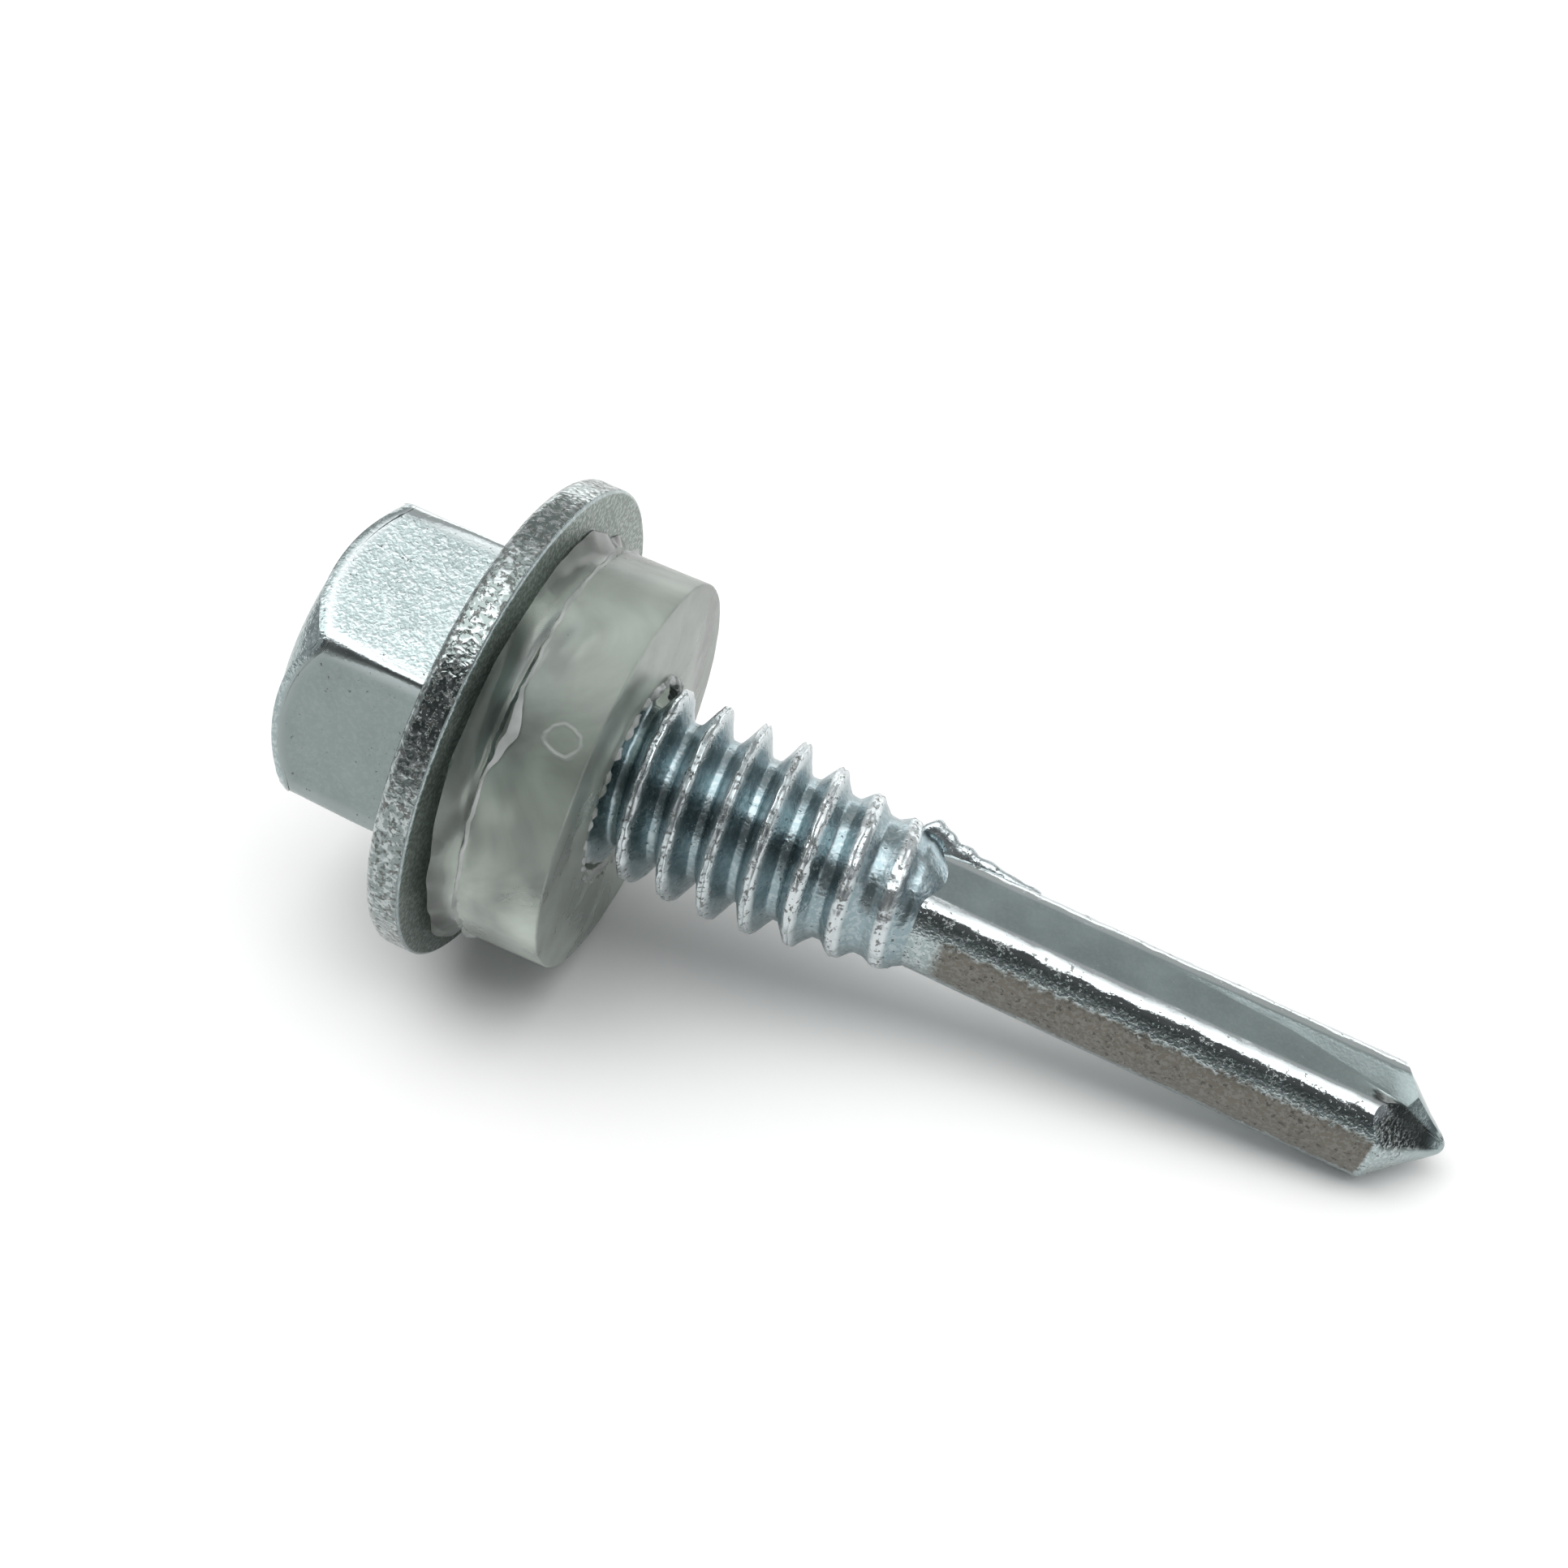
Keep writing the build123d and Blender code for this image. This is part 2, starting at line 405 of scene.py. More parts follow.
def zinc_group():
    """Node group for zinc plate: crystals that sparkle, fine grain, pits and dirt, and places worn bright
    that also carry painted highlights.
    """
    group = bpy.data.node_groups.new("zinc_plate", "ShaderNodeTree")
    sockets = (
        ("INPUT", "Vector", ("Vector",)),
        ("INPUT", "Float", ("Crystal Size", "Crystal Depth", "Pits", "Rubbed And Highlight", "Dullness")),
        ("INPUT", "Color", ("Colour", "Rubbed Colour")),
        ("OUTPUT", "Color", ("Colour",)),
        ("OUTPUT", "Float", ("Roughness", "Height")),
    )
    for direction, kind, names in sockets:
        for name in names:
            group.interface.new_socket(name=name, in_out=direction, socket_type="NodeSocket" + kind)
    given = group.nodes.new("NodeGroupInput").outputs
    vector = given["Vector"]
    scale = maths(group, "DIVIDE", 1.0, given["Crystal Size"])
    crystals = clouds(group, vector, scale, 1.0, Distortion=0.6)
    patches = clouds(group, vector, 900.0, 3.0)
    holes = clouds(group, vector, 7000.0, 3.0, Roughness=0.6)
    grain = add_node(group, "TexVoronoi", {"Vector": vector, "Scale": scaled(group, scale, 1.3)})
    relief = scaled(group, grain.outputs["Distance"], 0.3, crystals)
    depth = maths(group, "MULTIPLY", given["Crystal Depth"], scaled(group, given["Rubbed And Highlight"], -0.75, 1.0))
    pitted = maths(group, "SUBTRACT", scaled(group, given["Pits"], 0.12, 0.5), holes)
    pit = ramp(group, pitted, ((0.215, 0.0), (0.26, 1.0)))
    height = scaled(group, pit, -0.8, maths(group, "MULTIPLY", relief, depth))
    rough = scaled(group, pit, 0.25, ramp(group, patches, ((0.3, 0.12), (0.7, 0.22))))
    rough = maths(group, "ADD", rough, given["Dullness"])
    # The crystals' ridges and the places worn bright take the brighter colour: partly grain and wear, partly
    # painted highlight. The shade from the patches is a random tone, not light.
    ridges = ramp(group, crystals, ((0.47, 0.0), (0.60, 1.0)))
    ridges = maths(group, "MULTIPLY", ridges, scaled(group, depth, 0.30))
    rubbed_and_highlight = maths(group, "MAXIMUM", ridges, scaled(group, given["Rubbed And Highlight"], 0.85))
    shade = ramp(group, patches, ((0.3, 0.86), (0.7, 1.04)))
    plate = blend(group, 1.0, given["Colour"], shade, "MULTIPLY")
    bright = blend(group, rubbed_and_highlight, plate, given["Rubbed Colour"])
    dirty = blend(group, scaled(group, pit, 0.7), bright, DIRT)
    out = group.nodes.new("NodeGroupOutput")
    feed(group, out, {"Colour": dirty, "Roughness": rough, "Height": height})
    return group


def zinc_material(name, finish, crystal_size, bump, build):
    """A zinc plated metal. build gives the node group's other inputs, from the tree and the finish."""
    material, tree, shader = new_material(name)
    group = bpy.data.node_groups.get("zinc_plate") or zinc_group()
    inputs = {"Vector": screw_coordinates(tree), "Crystal Size": crystal_size,
              "Colour": finish.zinc, "Rubbed Colour": finish.bare_and_highlight}
    inputs.update(build(tree, finish))
    plate = add_node(tree, "Group", inputs, node_tree=group).outputs
    relief = add_node(tree, "Bump", {"Distance": bump, "Height": plate["Height"]})
    feed(tree, shader, {"Metallic": 1.0, "Base Color": plate["Colour"], "Roughness": plate["Roughness"],
                        "Normal": relief.outputs["Normal"]})
    return material


def head_finish(tree, finish):
    """Strong crystals on the faces that look up, calmer plate darkened by painted shade on the rest, painted
    highlight and wear along the edges, painted shade under the flange, and a pitted, worn rim.
    """
    worn, calm_and_shaded, filmed_and_shaded = (attribute(tree, name) for name in ("worn", "calm_and_shaded", "filmed_and_shaded"))
    # Painted shade: the faces that do not look up take the darker shaded zinc.
    plate = blend(tree, worn, blend(tree, calm_and_shaded, finish.zinc, finish.shaded_zinc), finish.scraped)
    return {"Crystal Size": scaled(tree, worn, 0.06 * MM, 0.115 * MM),
            "Crystal Depth": scaled(tree, calm_and_shaded, -1.15, scaled(tree, worn, 0.4, 1.3)),
            # Painted shade: the flange's underside takes a darker, greener copy of the zinc; its haze is the
            # added roughness.
            "Colour": blend(tree, filmed_and_shaded, plate, finish.film_and_shade),
            "Dullness": scaled(tree, scaled(tree, calm_and_shaded, 0.35, filmed_and_shaded), 0.28),
            "Pits": scaled(tree, worn, 1.1, 0.25),
            # Partly wear, partly painted highlight: the edges and the crown's border.
            "Rubbed And Highlight": attribute(tree, "rubbed_and_highlight")}


def thread_finish(tree, finish):
    """Bluish plate in the grooves, and scuffed, sparkling crests."""
    scuffed = attribute(tree, "scuffed")
    return {"Crystal Depth": scaled(tree, scuffed, 2.2, 0.8), "Pits": scaled(tree, scuffed, 0.7, 0.5),
            "Rubbed And Highlight": scaled(tree, scuffed, 1.05), "Colour": finish.blued, "Dullness": 0.11}


def drill_finish(tree, finish):
    """Smooth plate in the flutes and on the flats, warm tarnishing with a painted dark reflection on the
    lands, painted shade on the point's upper facets, and painted highlight along the flats' edges.
    """
    vector = screw_coordinates(tree)
    across, upward, station = add_node(tree, "SeparateXYZ", {"Vector": vector}).outputs
    side = maths(tree, "ABSOLUTE", across)
    ragged = scaled(tree, clouds(tree, vector, 5200.0, 2.0), 0.2 * MM)
    # The lands' mask: partly warm tarnishing, partly a painted dark reflection, kept above the lower edge
    # and short of the point.
    limits = (
        (maths(tree, "ADD", side, ragged), 1.46, 1.54),          # out on the lands
        (maths(tree, "SUBTRACT", station, ragged), 11.9, 12.3),  # past the shoulder
        (scaled(tree, station, -1.0), -23.62, -23.55),           # short of the point
        (upward, -0.93, -0.88),                                  # above the lower edge
    )
    film_and_shade = 1.0
    for value, low, high in limits:
        film_and_shade = maths(tree, "MULTIPLY", film_and_shade, rising(tree, value, low * MM, high * MM))
    edge = rising(tree, side, 0.5 * MM, 1.05 * MM)
    speckled = scaled(tree, film_and_shade, -0.95, edge)
    # Painted shade on the point's upper facets.
    plate = blend(tree, attribute(tree, "shaded_facet"), finish.zinc, finish.shaded_facet)
    # The lands take the warm colour of tarnishing and painted dark reflection.
    return {"Colour": blend(tree, film_and_shade, plate, finish.tarnish_and_reflection),
            "Crystal Depth": scaled(tree, speckled, 1.3, 0.2), "Pits": scaled(tree, edge, 0.9),
            "Rubbed And Highlight": attribute(tree, "rubbed_and_highlight"), "Dullness": scaled(tree, film_and_shade, 0.16, -0.04)}


def vinyl_material(name, colour, clearness, gloss, gate):
    """Soft vinyl: cloudy, lightly glossy, with a few dark specks and the mark of the mould's gate."""
    material, tree, shader = new_material(name)
    vector = screw_coordinates(tree)
    cloud = clouds(tree, vector, 330.0, 6.0, Distortion=0.8)
    thin = (*(channel * 0.42 for channel in colour[:3]), 1.0)
    thick = (*(min(1.0, channel * 1.4) for channel in colour[:3]), 1.0)
    milk = ramp(tree, cloud, ((0.32, thin), (0.68, thick)))
    from_gate = add_node(tree, "VectorMath", {0: vector, 1: gate}, operation="DISTANCE")
    from_gate = scaled(tree, clouds(tree, vector, 1600.0, 2.0), 0.42 * MM, from_gate.outputs["Value"])
    ring = ramp(tree, maths(tree, "DIVIDE", from_gate, MM), ((0.56, 0.0), (0.63, 1.0), (0.70, 0.0)))
    milk = blend(tree, scaled(tree, ring, 0.8), milk, GATE_MARK)
    speck = ramp(tree, clouds(tree, vector, 4200.0, 1.0), ((0.17, 1.0), (0.185, 0.0)))
    height = scaled(tree, ring, 3.0, clouds(tree, vector, 2200.0, 3.0))
    relief = add_node(tree, "Bump", {"Strength": 0.6, "Distance": 0.012 * MM, "Height": height})
    feed(tree, shader, {
        "Transmission Weight": clearness,
        "IOR": 1.5,
        "Base Color": blend(tree, speck, milk, SPECK),
        "Roughness": ramp(tree, cloud, ((0.3, gloss * 0.75), (0.75, gloss * 1.3))),
        "Normal": relief.outputs["Normal"],
    })
    return material


# ---- Head and flange ----


def off_corner(angle):
    """Angle to the nearest corner of the hexagon."""
    return abs((angle + HALF_SIDE) % (2 * HALF_SIDE) - HALF_SIDE)


def hexagon_radius(angle, half, edge_round):
    """Radius of a hexagon with rounded edges, at an angle from one of its corners."""
    from_corner = off_corner(angle)
    from_flat = HALF_SIDE - from_corner
    inner = half - edge_round
    if half * tan(from_flat) < inner * tan(HALF_SIDE):
        return half / cos(from_flat)
    centre = inner / cos(HALF_SIDE)
    return centre * cos(from_corner) + sqrt(edge_round**2 - (centre * sin(from_corner)) ** 2)


def build_head(sizes, steps):
    """The hexagon with its crown and dish, and the flange with its square rim."""
    half = sizes.across_flats / 2
    corner = half / cos(HALF_SIDE)
    end = INSET - HEAD_HEIGHT
    land, dish, outer, height = sizes.crown_land, sizes.dish_radius, sizes.flange_radius, sizes.rim_height
    top_round, edge_round, fillet = sizes.rim_top, sizes.rim_edge, sizes.hex_fillet
    slope = (sizes.flange_root - height) / (outer - half)
    tight_corner = radians(120.0)
    tight_reach = (radians(6.0), radians(40.0))
    crown_curve = 1.7
    soft_stations = (-2.2 * MM, end + 0.3 * MM)
    gathering = 0.8 / CORNERS
    edge_band = (0.25 * MM, 0.5 * MM)
    crown_band = (0.08 * MM, 0.42 * MM)
    tilt_band = (0.62, 0.78)
    # How bright the edges are marked, and how much less on the faces that do not look up: painted highlight
    # with some wear.
    edge_rub_and_highlight = 0.8
    shaded_side_dim = 0.8

    def crown(radius, angle):
        """Station of the crown. One corner is less filled by the forging than the rest."""
        share = mix(1.0, sizes.crown_share, smoothstep(*tight_reach, apart(angle, tight_corner)))
        return end + sizes.crown_drop * share * max(0.0, (radius - land) / (corner - land)) ** crown_curve

    def wall(angle, station):
        """Radius of the hexagon, whose upright edges are rounder near the crown."""
        softness = smoothstep(*soft_stations, station)
        return hexagon_radius(angle, half, mix(sizes.edge_round, sizes.soft_round, softness))

    def flange_top(radius):
        """Station of the flange's slope."""
        return -sizes.flange_root + slope * (radius - half)

    crown_foot = crown(corner, tight_corner)
    wall_foot = flange_top(corner) - fillet
    foot = corner + fillet
    dish_floor = dish - 0.75 * MM
    rim = outer - top_round
    rim_station = flange_top(rim) + top_round * hypot(1.0, slope)
    profile = [(radius, end + sizes.dish_depth) for radius in spread(0.0, dish_floor, 6)]
    profile += [(radius, mix(end + sizes.dish_depth, end, smoothstep(dish_floor, dish, radius)))
                for radius in spread(dish_floor, dish, 7)[1:]]
    profile += [(radius, end) for radius in spread(dish, land, 6)[1:]]
    profile += [(radius, crown(radius, tight_corner)) for radius in spread(land, corner, 13)[1:]]
    profile += [(corner, station) for station in spread(crown_foot, wall_foot, 25)[1:]]
    profile += [(corner + fillet * (1 - cos(a)), wall_foot + fillet * sin(a))
                for a in spread(0.0, pi / 2, 5)[1:]]
    profile += [(radius, flange_top(radius)) for radius in spread(foot, rim, 7)[1:]]
    profile += arc((rim, rim_station), top_round, degrees(atan2(-1.0, slope)), 0.0, 9)[1:]
    profile += [(outer, station) for station in spread(rim_station, -edge_round, 8)[1:]]
    profile += arc((outer - edge_round, -edge_round), edge_round, 0.0, 90.0, 5)[1:]
    profile += [(radius, 0.0) for radius in spread(outer - edge_round, 0.0, 14)[1:]]
    bm = spun(profile, steps)
    rubbed_and_highlight, worn, calm_and_shaded, filmed_and_shaded = float_layers(bm, "rubbed_and_highlight", "worn", "calm_and_shaded", "filmed_and_shaded")
    crown_rim = [edge for edge in bm.edges if all(
        abs(polar(v.co)[0] - corner) < MERGE and abs(v.co.z - crown_foot) < MERGE for v in edge.verts)]

    for vert in bm.verts:
        radius, angle, station = polar(vert.co)
        gather = smoothstep(dish, land, radius) * (1 - smoothstep(corner, rim, radius))
        angle -= gather * gathering * sin(CORNERS * angle)
        if station <= crown_foot + MERGE and land < radius <= corner + MERGE:
            radius = mix(land, wall(angle, crown_foot), (radius - land) / (corner - land))
            station = crown(radius, angle)
        elif abs(radius - corner) < MERGE:
            share = (station - crown_foot) / (wall_foot - crown_foot)
            top = crown(wall(angle, crown_foot), angle)
            station = mix(top, flange_top(wall(angle, wall_foot)) - fillet, share)
            radius = wall(angle, mix(top, station, smoothstep(0.0, 0.2, share)))
            border = half * (tan(HALF_SIDE) - tan(HALF_SIDE - off_corner(angle)))
            near_edge = 1 - smoothstep(*edge_band, border)
            near_crown = 1 - smoothstep(*crown_band, station - top)
            # Painted shade: the faces that do not look up are marked for a darker colour. Painted highlight,
            # partly wear: the edges and the crown's border are marked bright, less on those faces.
            vert[calm_and_shaded] = 1 - smoothstep(*tilt_band, sin(angle + sizes.hex_turn))
            vert[rubbed_and_highlight] = max(near_edge * edge_rub_and_highlight, near_crown) * (1 - shaded_side_dim * vert[calm_and_shaded])
        elif corner < radius <= foot + MERGE and station < flange_top(foot) + MERGE:
            foot_radius = wall(angle, wall_foot)
            station += flange_top(foot_radius) - flange_top(corner)
            radius += foot_radius - corner
        elif foot < radius < rim and station < -0.5 * height:
            share = (rim - radius) / (rim - foot)
            radius = mix(rim, wall(angle, wall_foot) + fillet, share)
            station = flange_top(radius)
        if radius > rim - 0.1 * MM and station < -0.3 * edge_round:
            vert[worn] = 1.0
            radius -= INSET + MM * uneven(vert.co, "rim")
        # Painted shade: the flange's underside is marked for a darker, greener colour and a rougher surface.
        vert[filmed_and_shaded] = float(station > -MERGE)
        vert.co = from_polar(radius, angle + sizes.hex_turn, station)
    bmesh.ops.bevel(bm, geom=crown_rim, offset=sizes.crown_bevel, affect="EDGES", segments=4,
                    profile=0.5, material=-1)
    for vert in bm.verts:
        radius, angle, station = polar(vert.co)
        if radius > half - 0.3 * MM and station < -height - 0.1 * MM:
            vert.co += from_polar(MM * uneven(vert.co, "forging"), angle, 0.0)
    return bm


# ---- Thread ----


def build_thread(sizes, steps):
    """Neck, rolled thread with its run-in and run-out, and the shoulder before the drill."""
    pitch, core, major, crest = sizes.pitch, sizes.core_radius, sizes.major_radius, sizes.crest_half
    shoulder = sizes.shoulder
    depth = major - core
    foot = crest + depth * tan(sizes.flank_half)
    side = [
        (pitch / 2, core),
        (mix(pitch / 2, foot, 0.5), core),
        (foot + 0.03 * MM, core + 0.012 * MM),
        (foot - 0.02 * MM, core + 0.06 * MM),
        (foot - 0.07 * MM, core + 0.16 * MM),
        *((mix(foot, crest, share), mix(core, major, share)) for share in (0.42, 0.64, 0.82)),
        (crest + 0.012 * MM, major - 0.045 * MM),
        (crest - 0.022 * MM, major - 0.004 * MM),
        (crest * 0.55, major),
        (crest * 0.25, major - sizes.seam_depth * 0.75),
        (0.0, major - sizes.seam_depth),
    ]
    tooth = [(-place, radius) for place, radius in side] + side[-2::-1]
    first_crest = 1.41 * MM
    first_turn = 0.65
    turns = 8
    start_station = first_crest + pitch * first_turn
    start_angle = radians(90.0 + 360.0 * first_turn)
    middle = start_station + pitch * turns / 2
    start_gap = 0.04 * MM
    taper, taper_start = 0.062, 8.6 * MM
    fade, fade_start = 0.1877, 7.07 * MM
    shoulder_slope = 0.5

    line = [from_polar(radius, start_angle, start_station + place) for place, radius in tooth]
    bm = turned(line, steps, pitch)
    one_turn = list(bm.verts) + list(bm.edges) + list(bm.faces)
    for turn in range(1, turns):
        moved = verts_in(bmesh.ops.duplicate(bm, geom=one_turn)["geom"])
        bmesh.ops.translate(bm, vec=(0, 0, pitch * turn), verts=moved)
    bmesh.ops.remove_doubles(bm, verts=bm.verts, dist=WELD)

    def envelope(station):
        """The radii of the root and of the crest at a station."""
        root = core - taper * max(0.0, station - taper_start)
        run_in = core - start_gap + depth * (station - first_crest) / pitch
        run_out = major - fade * (station - fade_start)
        return root, max(root, min(major, run_in, run_out))

    (scuffed,) = float_layers(bm, "scuffed")
    for vert in bm.verts:
        radius, angle, station = polar(vert.co)
        share = (radius - core) / depth
        root, crest_radius = envelope(station)
        vert[scuffed] = smoothstep(0.66, 0.92, share)
        ragged = smoothstep(0.55, 1.0, share)
        radius = mix(root, crest_radius, share)
        radius += MM * (ragged * uneven(vert.co, "crest height") + uneven(vert.co, "thread"))
        station += MM * ragged * uneven(vert.co, "crest place")
        if station > shoulder:
            radius = min(radius, root - (station - shoulder) * shoulder_slope)
        vert.co = from_polar(radius, angle, station)

    rings = [edge for edge in bm.edges if edge.is_boundary]
    neck = sizes.neck_radius
    ends = (
        (True, ((0.75 * MM, core), (0.6 * MM, neck), (-0.5 * MM, neck))),
        (False, ((shoulder + 0.95 * MM, 0.9 * MM),)),
    )
    for low, stops in ends:
        loop = [edge for edge in rings if (edge.verts[0].co.z < middle) == low]
        for station, radius in stops:
            moved = verts_in(bmesh.ops.extrude_edge_only(bm, edges=loop)["geom"])
            for vert in moved:
                vert.co = from_polar(radius, polar(vert.co)[1], station)
            bmesh.ops.remove_doubles(bm, verts=moved, dist=WELD)
            loop = [edge for edge in bm.edges if edge.is_boundary and all(
                abs(vert.co.z - station) < MERGE for vert in edge.verts)]
        bmesh.ops.holes_fill(bm, edges=loop)
    bmesh.ops.dissolve_degenerate(bm, dist=MERGE, edges=bm.edges)
    face_outward(bm)
    return bm


# ---- Drill ----


def drill_half_section(sizes, crease_x, crease_y):
    """Points of the upper half of the drill's section, from its far side round to its near side."""
    drill, flat, edge, mouth = sizes.drill_radius, sizes.flat_half, sizes.land_round, sizes.flute_half
    centre_y = flat - edge
    centre_x = sqrt((drill - edge) ** 2 - centre_y**2)
    tangent = atan2(centre_y, centre_x)
    right = [(drill * cos(a), drill * sin(a)) for a in spread(0.0, tangent, 13)[:-1]]
    right += [(centre_x + edge * cos(a), centre_y + edge * sin(a))
              for a in spread(tangent, pi / 2, 11)]
    points = right[:]
    bends = ((centre_x, flat), (mouth, flat), (crease_x, crease_y), (-mouth, flat), (-centre_x, flat))
    for (x0, y0), (x1, y1), count in zip(bends, bends[1:], (4, 10, 16, 4)):
        points += [(mix(x0, x1, s), mix(y0, y1, s)) for s in spread(0.0, 1.0, count)[1:]]
    return points + [(-x, y) for x, y in right[-2:0:-1]]


def build_drill(sizes):
    """The drill: two lands, two flats that deepen into V flutes, the point's cone and heels."""
    nose = sizes.nose_radius
    nose_centre = sizes.screw_length - nose
    tip = nose_centre + nose / sin(sizes.point_half)
    cone = tan(sizes.point_half)
    cone_start = tip - sizes.drill_radius / cone
    crease_path = (
        (17.3 * MM, 0.56 * MM, 1.29 * MM),
        (20.9 * MM, 0.31 * MM, 1.25 * MM),
        (23.4 * MM, -0.2 * MM, 1.19 * MM),
        (tip, -0.32 * MM, 0.79 * MM),
    )
    heel_half = radians(38.0)
    heel_angles = (radians(121.0), radians(301.0))
    start, search_start, body_end = 11.0 * MM, 20.0 * MM, 22.6 * MM
    ring_shares = (0.93, 0.84, 0.74, 0.63, 0.52, 0.42, 0.33, 0.26, 0.2, 0.15, 0.11, 0.075, 0.045, 0.02)

    def section(station):
        """All points of the drill's section at a station."""
        x, y = crease_path[0][1:]
        for low, high in zip(crease_path, crease_path[1:]):
            if low[0] <= station <= high[0]:
                share = (station - low[0]) / (high[0] - low[0])
                x, y = mix(low[1], high[1], share), mix(low[2], high[2], share)
        half = drill_half_section(sizes, x, y)
        return half + [(-px, -py) for px, py in half]

    def reach(angle):
        """How fast the point widens behind the tip at an angle: on the cone, or on a heel's flat."""
        off = min(apart(angle, heel) for heel in heel_angles)
        return min(cone, cone * cos(heel_half) / cos(off)) if off < heel_half else cone

    def meeting(index):
        """The station where the point cuts this line of the body."""
        low, high = search_start, tip
        for _ in range(40):
            middle = (low + high) / 2
            x, y = section(middle)[index]
            if hypot(x, y) > (tip - middle) * reach(atan2(y, x)):
                high = middle
            else:
                low = middle
        return low

    count = len(section(start))
    cut = [meeting(index) for index in range(count)]
    shapes = [[(x, y, station) for x, y in section(station)] for station in spread(start, body_end, 78)]
    for share in spread(0.0, 1.0, 11)[1:]:
        stations = [mix(body_end, cut[index], share) for index in range(count)]
        shapes.append([(*section(station)[index], station) for index, station in enumerate(stations)])
    last = shapes[-1]
    for share in ring_shares:
        ring = []
        for x, y, _ in last:
            radius = hypot(x, y) * share
            station = tip - radius / reach(atan2(y, x))
            if radius < nose:
                station = min(station, nose_centre + sqrt(nose**2 - radius**2))
            ring.append((x * share, y * share, station))
        shapes.append(ring)
    rows = len(shapes) - 1
    bm = bmesh.new()
    bmesh.ops.create_grid(bm, x_segments=count, y_segments=rows, size=0.5)
    for vert in bm.verts:
        column = round((vert.co.x + 0.5) * count) % count
        vert.co = shapes[round((vert.co.y + 0.5) * rows)][column]
    bmesh.ops.remove_doubles(bm, verts=bm.verts, dist=WELD)
    bmesh.ops.holes_fill(bm, edges=[edge for edge in bm.edges if edge.is_boundary])
    face_outward(bm)

    margin = 0.6 * MM
    shrink = 0.018 * MM
    edge_rub_and_highlight = 0.9
    skin_band, hub_band = (0.02 * MM, 0.1 * MM), (0.3 * MM, 0.5 * MM)
    facet_start, facet_end = (100.0, 106.0), (154.0, 166.0)
    edge_x, edge_y = (0.60 * MM, 0.72 * MM), (1.02 * MM, 1.12 * MM)
    rubbed_and_highlight, shaded_facet = float_layers(bm, "rubbed_and_highlight", "shaded_facet")
    for vert in bm.verts:
        radius, angle, station = polar(vert.co)
        bearing = degrees(angle) % 180
        on_cone = smoothstep(*skin_band, sizes.drill_radius - radius) * smoothstep(*hub_band, radius)
        on_cone *= station > cone_start - margin
        # Painted shade: the cone's facets between these bearings are marked dark.
        vert[shaded_facet] = on_cone * smoothstep(*facet_start, bearing) * (1 - smoothstep(*facet_end, bearing))
        far_edge = smoothstep(*edge_x, abs(vert.co.x)) * smoothstep(*edge_y, abs(vert.co.y))
        # Painted highlight, partly wear: the flats' edges are marked bright.
        vert[rubbed_and_highlight] = edge_rub_and_highlight * far_edge
        if station < tip - margin:
            swell = MM * (uneven(vert.co, "drill") + far_edge * uneven(vert.co, "drill edge")) - shrink
            vert.co = from_polar(radius + swell, angle, station)
    return bm


def build_burr():
    """The rough lip of metal that rolling leaves on the far side where the drill begins."""
    start, end = 10.3 * MM, 14.2 * MM
    start_angle, end_angle, half_spread = radians(52.0), radians(38.0), radians(5.0)
    shank, drill, step = 1.82 * MM, 1.46 * MM, (11.0 * MM, 11.6 * MM)
    bury, low, high = 0.22 * MM, 0.14 * MM, 0.38 * MM
    bluntness = 4.0
    lump, lump_grain = 0.025 * MM, 0.25 * MM
    bm = bmesh.new()
    bmesh.ops.create_uvsphere(bm, u_segments=14, v_segments=80, radius=1.0)
    (scuffed,) = float_layers(bm, "scuffed")
    for vert in bm.verts:
        vert[scuffed] = 0.7
        along = 0.5 + asin(clamp(vert.co.z, -1.0, 1.0)) / pi
        girth = max(1e-6, hypot(vert.co.x, vert.co.y))
        plump = min(1.0, bluntness * girth) / girth
        station = mix(start, end, along)
        swell = smoothstep(0.0, 0.18, along) * (1 - smoothstep(0.45, 1.0, along))
        height = mix(low, high, swell) * (1.0 + uneven(Vector((0.0, 0.0, station)), "burr"))
        angle = mix(start_angle, end_angle, along) + half_spread * vert.co.x * plump
        rise = 0.5 * (bury + height) * (1 + vert.co.y * plump)
        vert.co = from_polar(mix(shank, drill, smoothstep(*step, station)) - bury + rise, angle, station)
        vert.co += lump * plump * girth * jolt(vert.co, lump_grain)
    face_outward(bm)
    return bm


# ---- Sealing washer ----


def add_frays(bm, sizes):
    """Torn scraps of vinyl that the thread has raised round the bore."""
    count, golden_angle = 34, radians(137.5)
    size_step, place_step = 0.618, 0.383
    smallest, largest, band = 0.07 * MM, 0.24 * MM, 0.42 * MM
    sink, grain = 0.02 * MM, 0.16 * MM
    stretch = Matrix.Diagonal((0.75, 1.5, 0.8, 1.0))
    for index in range(count):
        size = mix(smallest, largest, (index * size_step % 1.0) ** 2)
        out = sizes.bore_radius + band * (index * place_step % 1.0)
        middle = from_polar(out, index * golden_angle, sizes.height - sink)
        shape = Matrix.Translation(middle) @ Matrix.Rotation(index * golden_angle, 4, "Z") @ stretch
        scrap = bmesh.ops.create_icosphere(bm, subdivisions=3, radius=size, matrix=shape)["verts"]
        for vert in scrap:
            vert.co += 0.5 * size * jolt(vert.co, grain)
        for face in {face for vert in scrap for face in vert.link_faces}:
            face.material_index = FLASH


